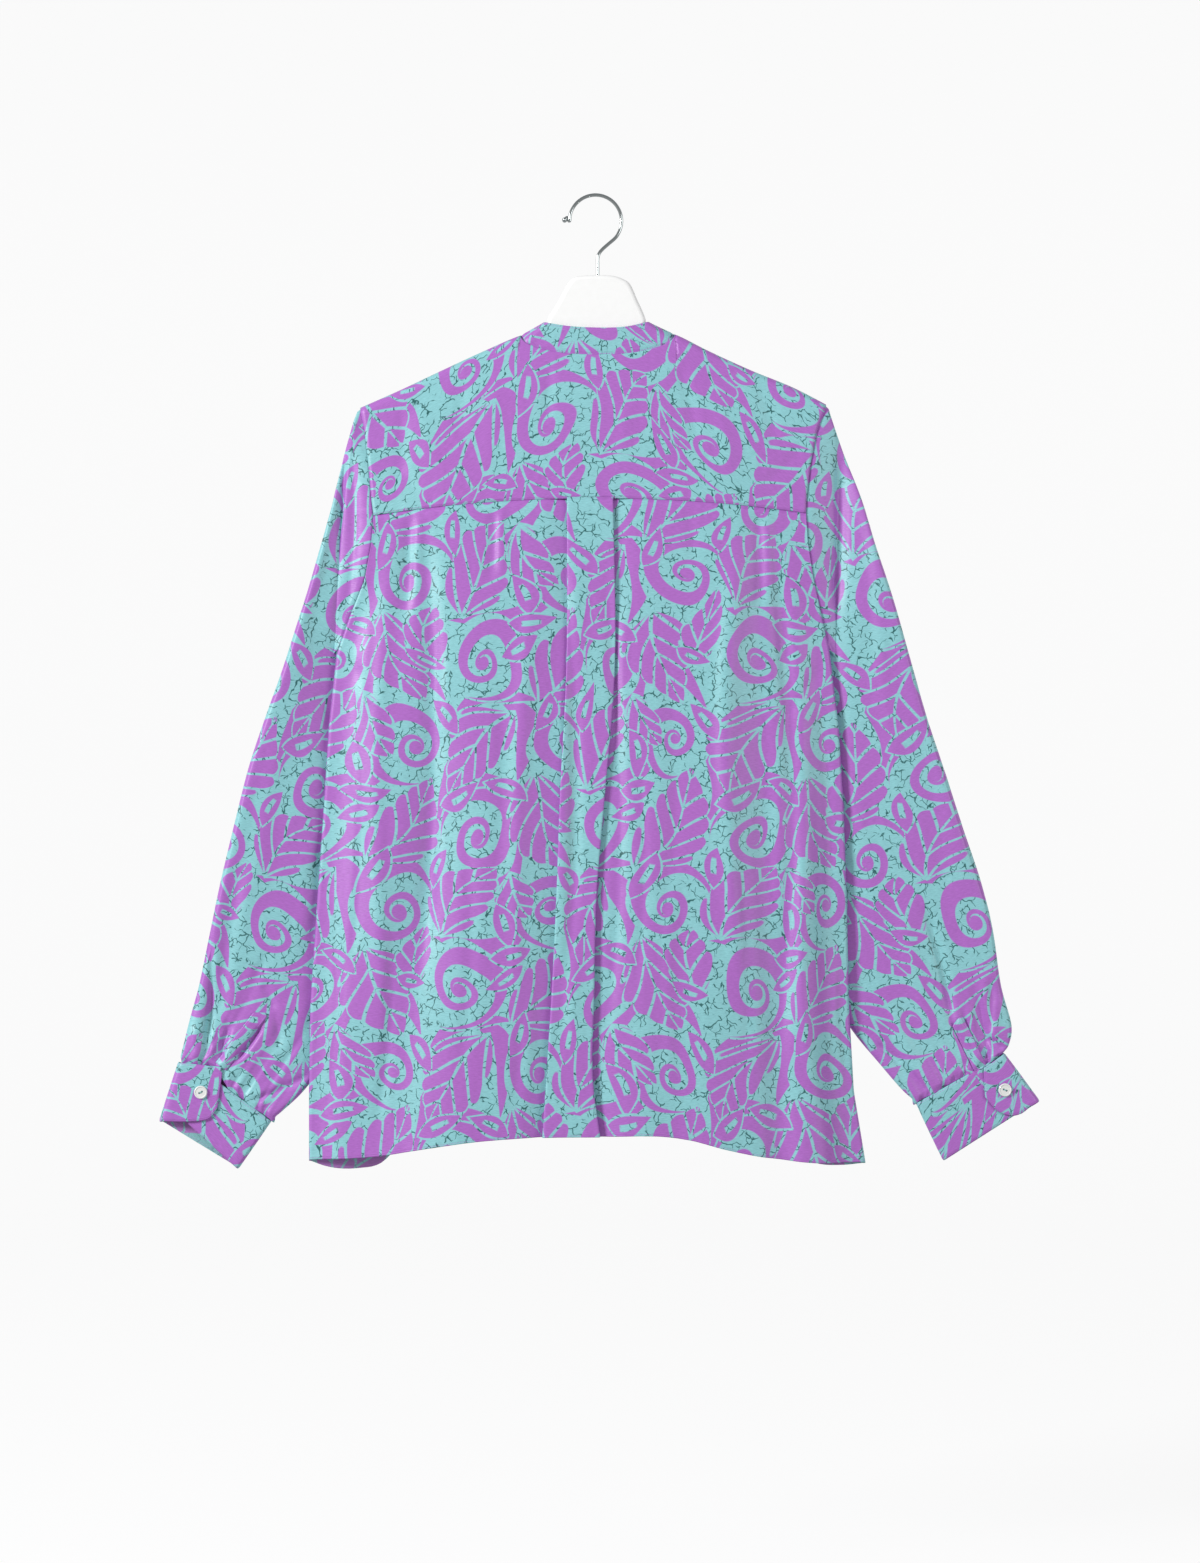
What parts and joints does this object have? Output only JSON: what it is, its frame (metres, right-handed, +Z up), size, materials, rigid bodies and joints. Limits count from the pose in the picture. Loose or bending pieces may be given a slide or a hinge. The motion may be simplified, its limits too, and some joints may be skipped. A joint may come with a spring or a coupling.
{
  "type": "long-sleeved blouse on a hanger",
  "caption": "Long-sleeved band-collar blouse with a back yoke and box pleat, hanging flat on a broad plastic hanger with a metal hook.",
  "frame": {"origin": "inside top of the hanger's hook, where a rail or a wall hook holds it", "axes": "the back of the blouse faces -Y, +X is the wearer's right, +Z is up"},
  "size_m": [0.7581, 0.0472, 0.8392],
  "materials": {
    "printed_cloth": "satin cloth with a purple and pale teal leaf print and fine crackle lines",
    "hanger_plastic": "off-white, softly matt",
    "hook_metal": "polished wire",
    "shell": "pearl-white shell with two holes and thread"
  },
  "bodies": {
    "root": {"back_panel": "printed_cloth", "back_yoke": "printed_cloth", "front_left": "printed_cloth", "front_right": "printed_cloth", "collar_band": "printed_cloth", "sleeve_left": "printed_cloth", "sleeve_right": "printed_cloth", "placket_left": "printed_cloth", "placket_right": "printed_cloth", "cuff_left": "printed_cloth", "cuff_right": "printed_cloth", "cuff_button_left": "shell", "cuff_button_right": "shell", "front_button_1": "shell", "front_button_2": "shell", "front_button_3": "shell", "front_button_4": "shell", "front_button_5": "shell", "front_button_6": "shell", "front_button_7": "shell", "front_button_8": "shell", "hanger_body": "hanger_plastic", "hook": "hook_metal"}
  },
  "joints": []
}
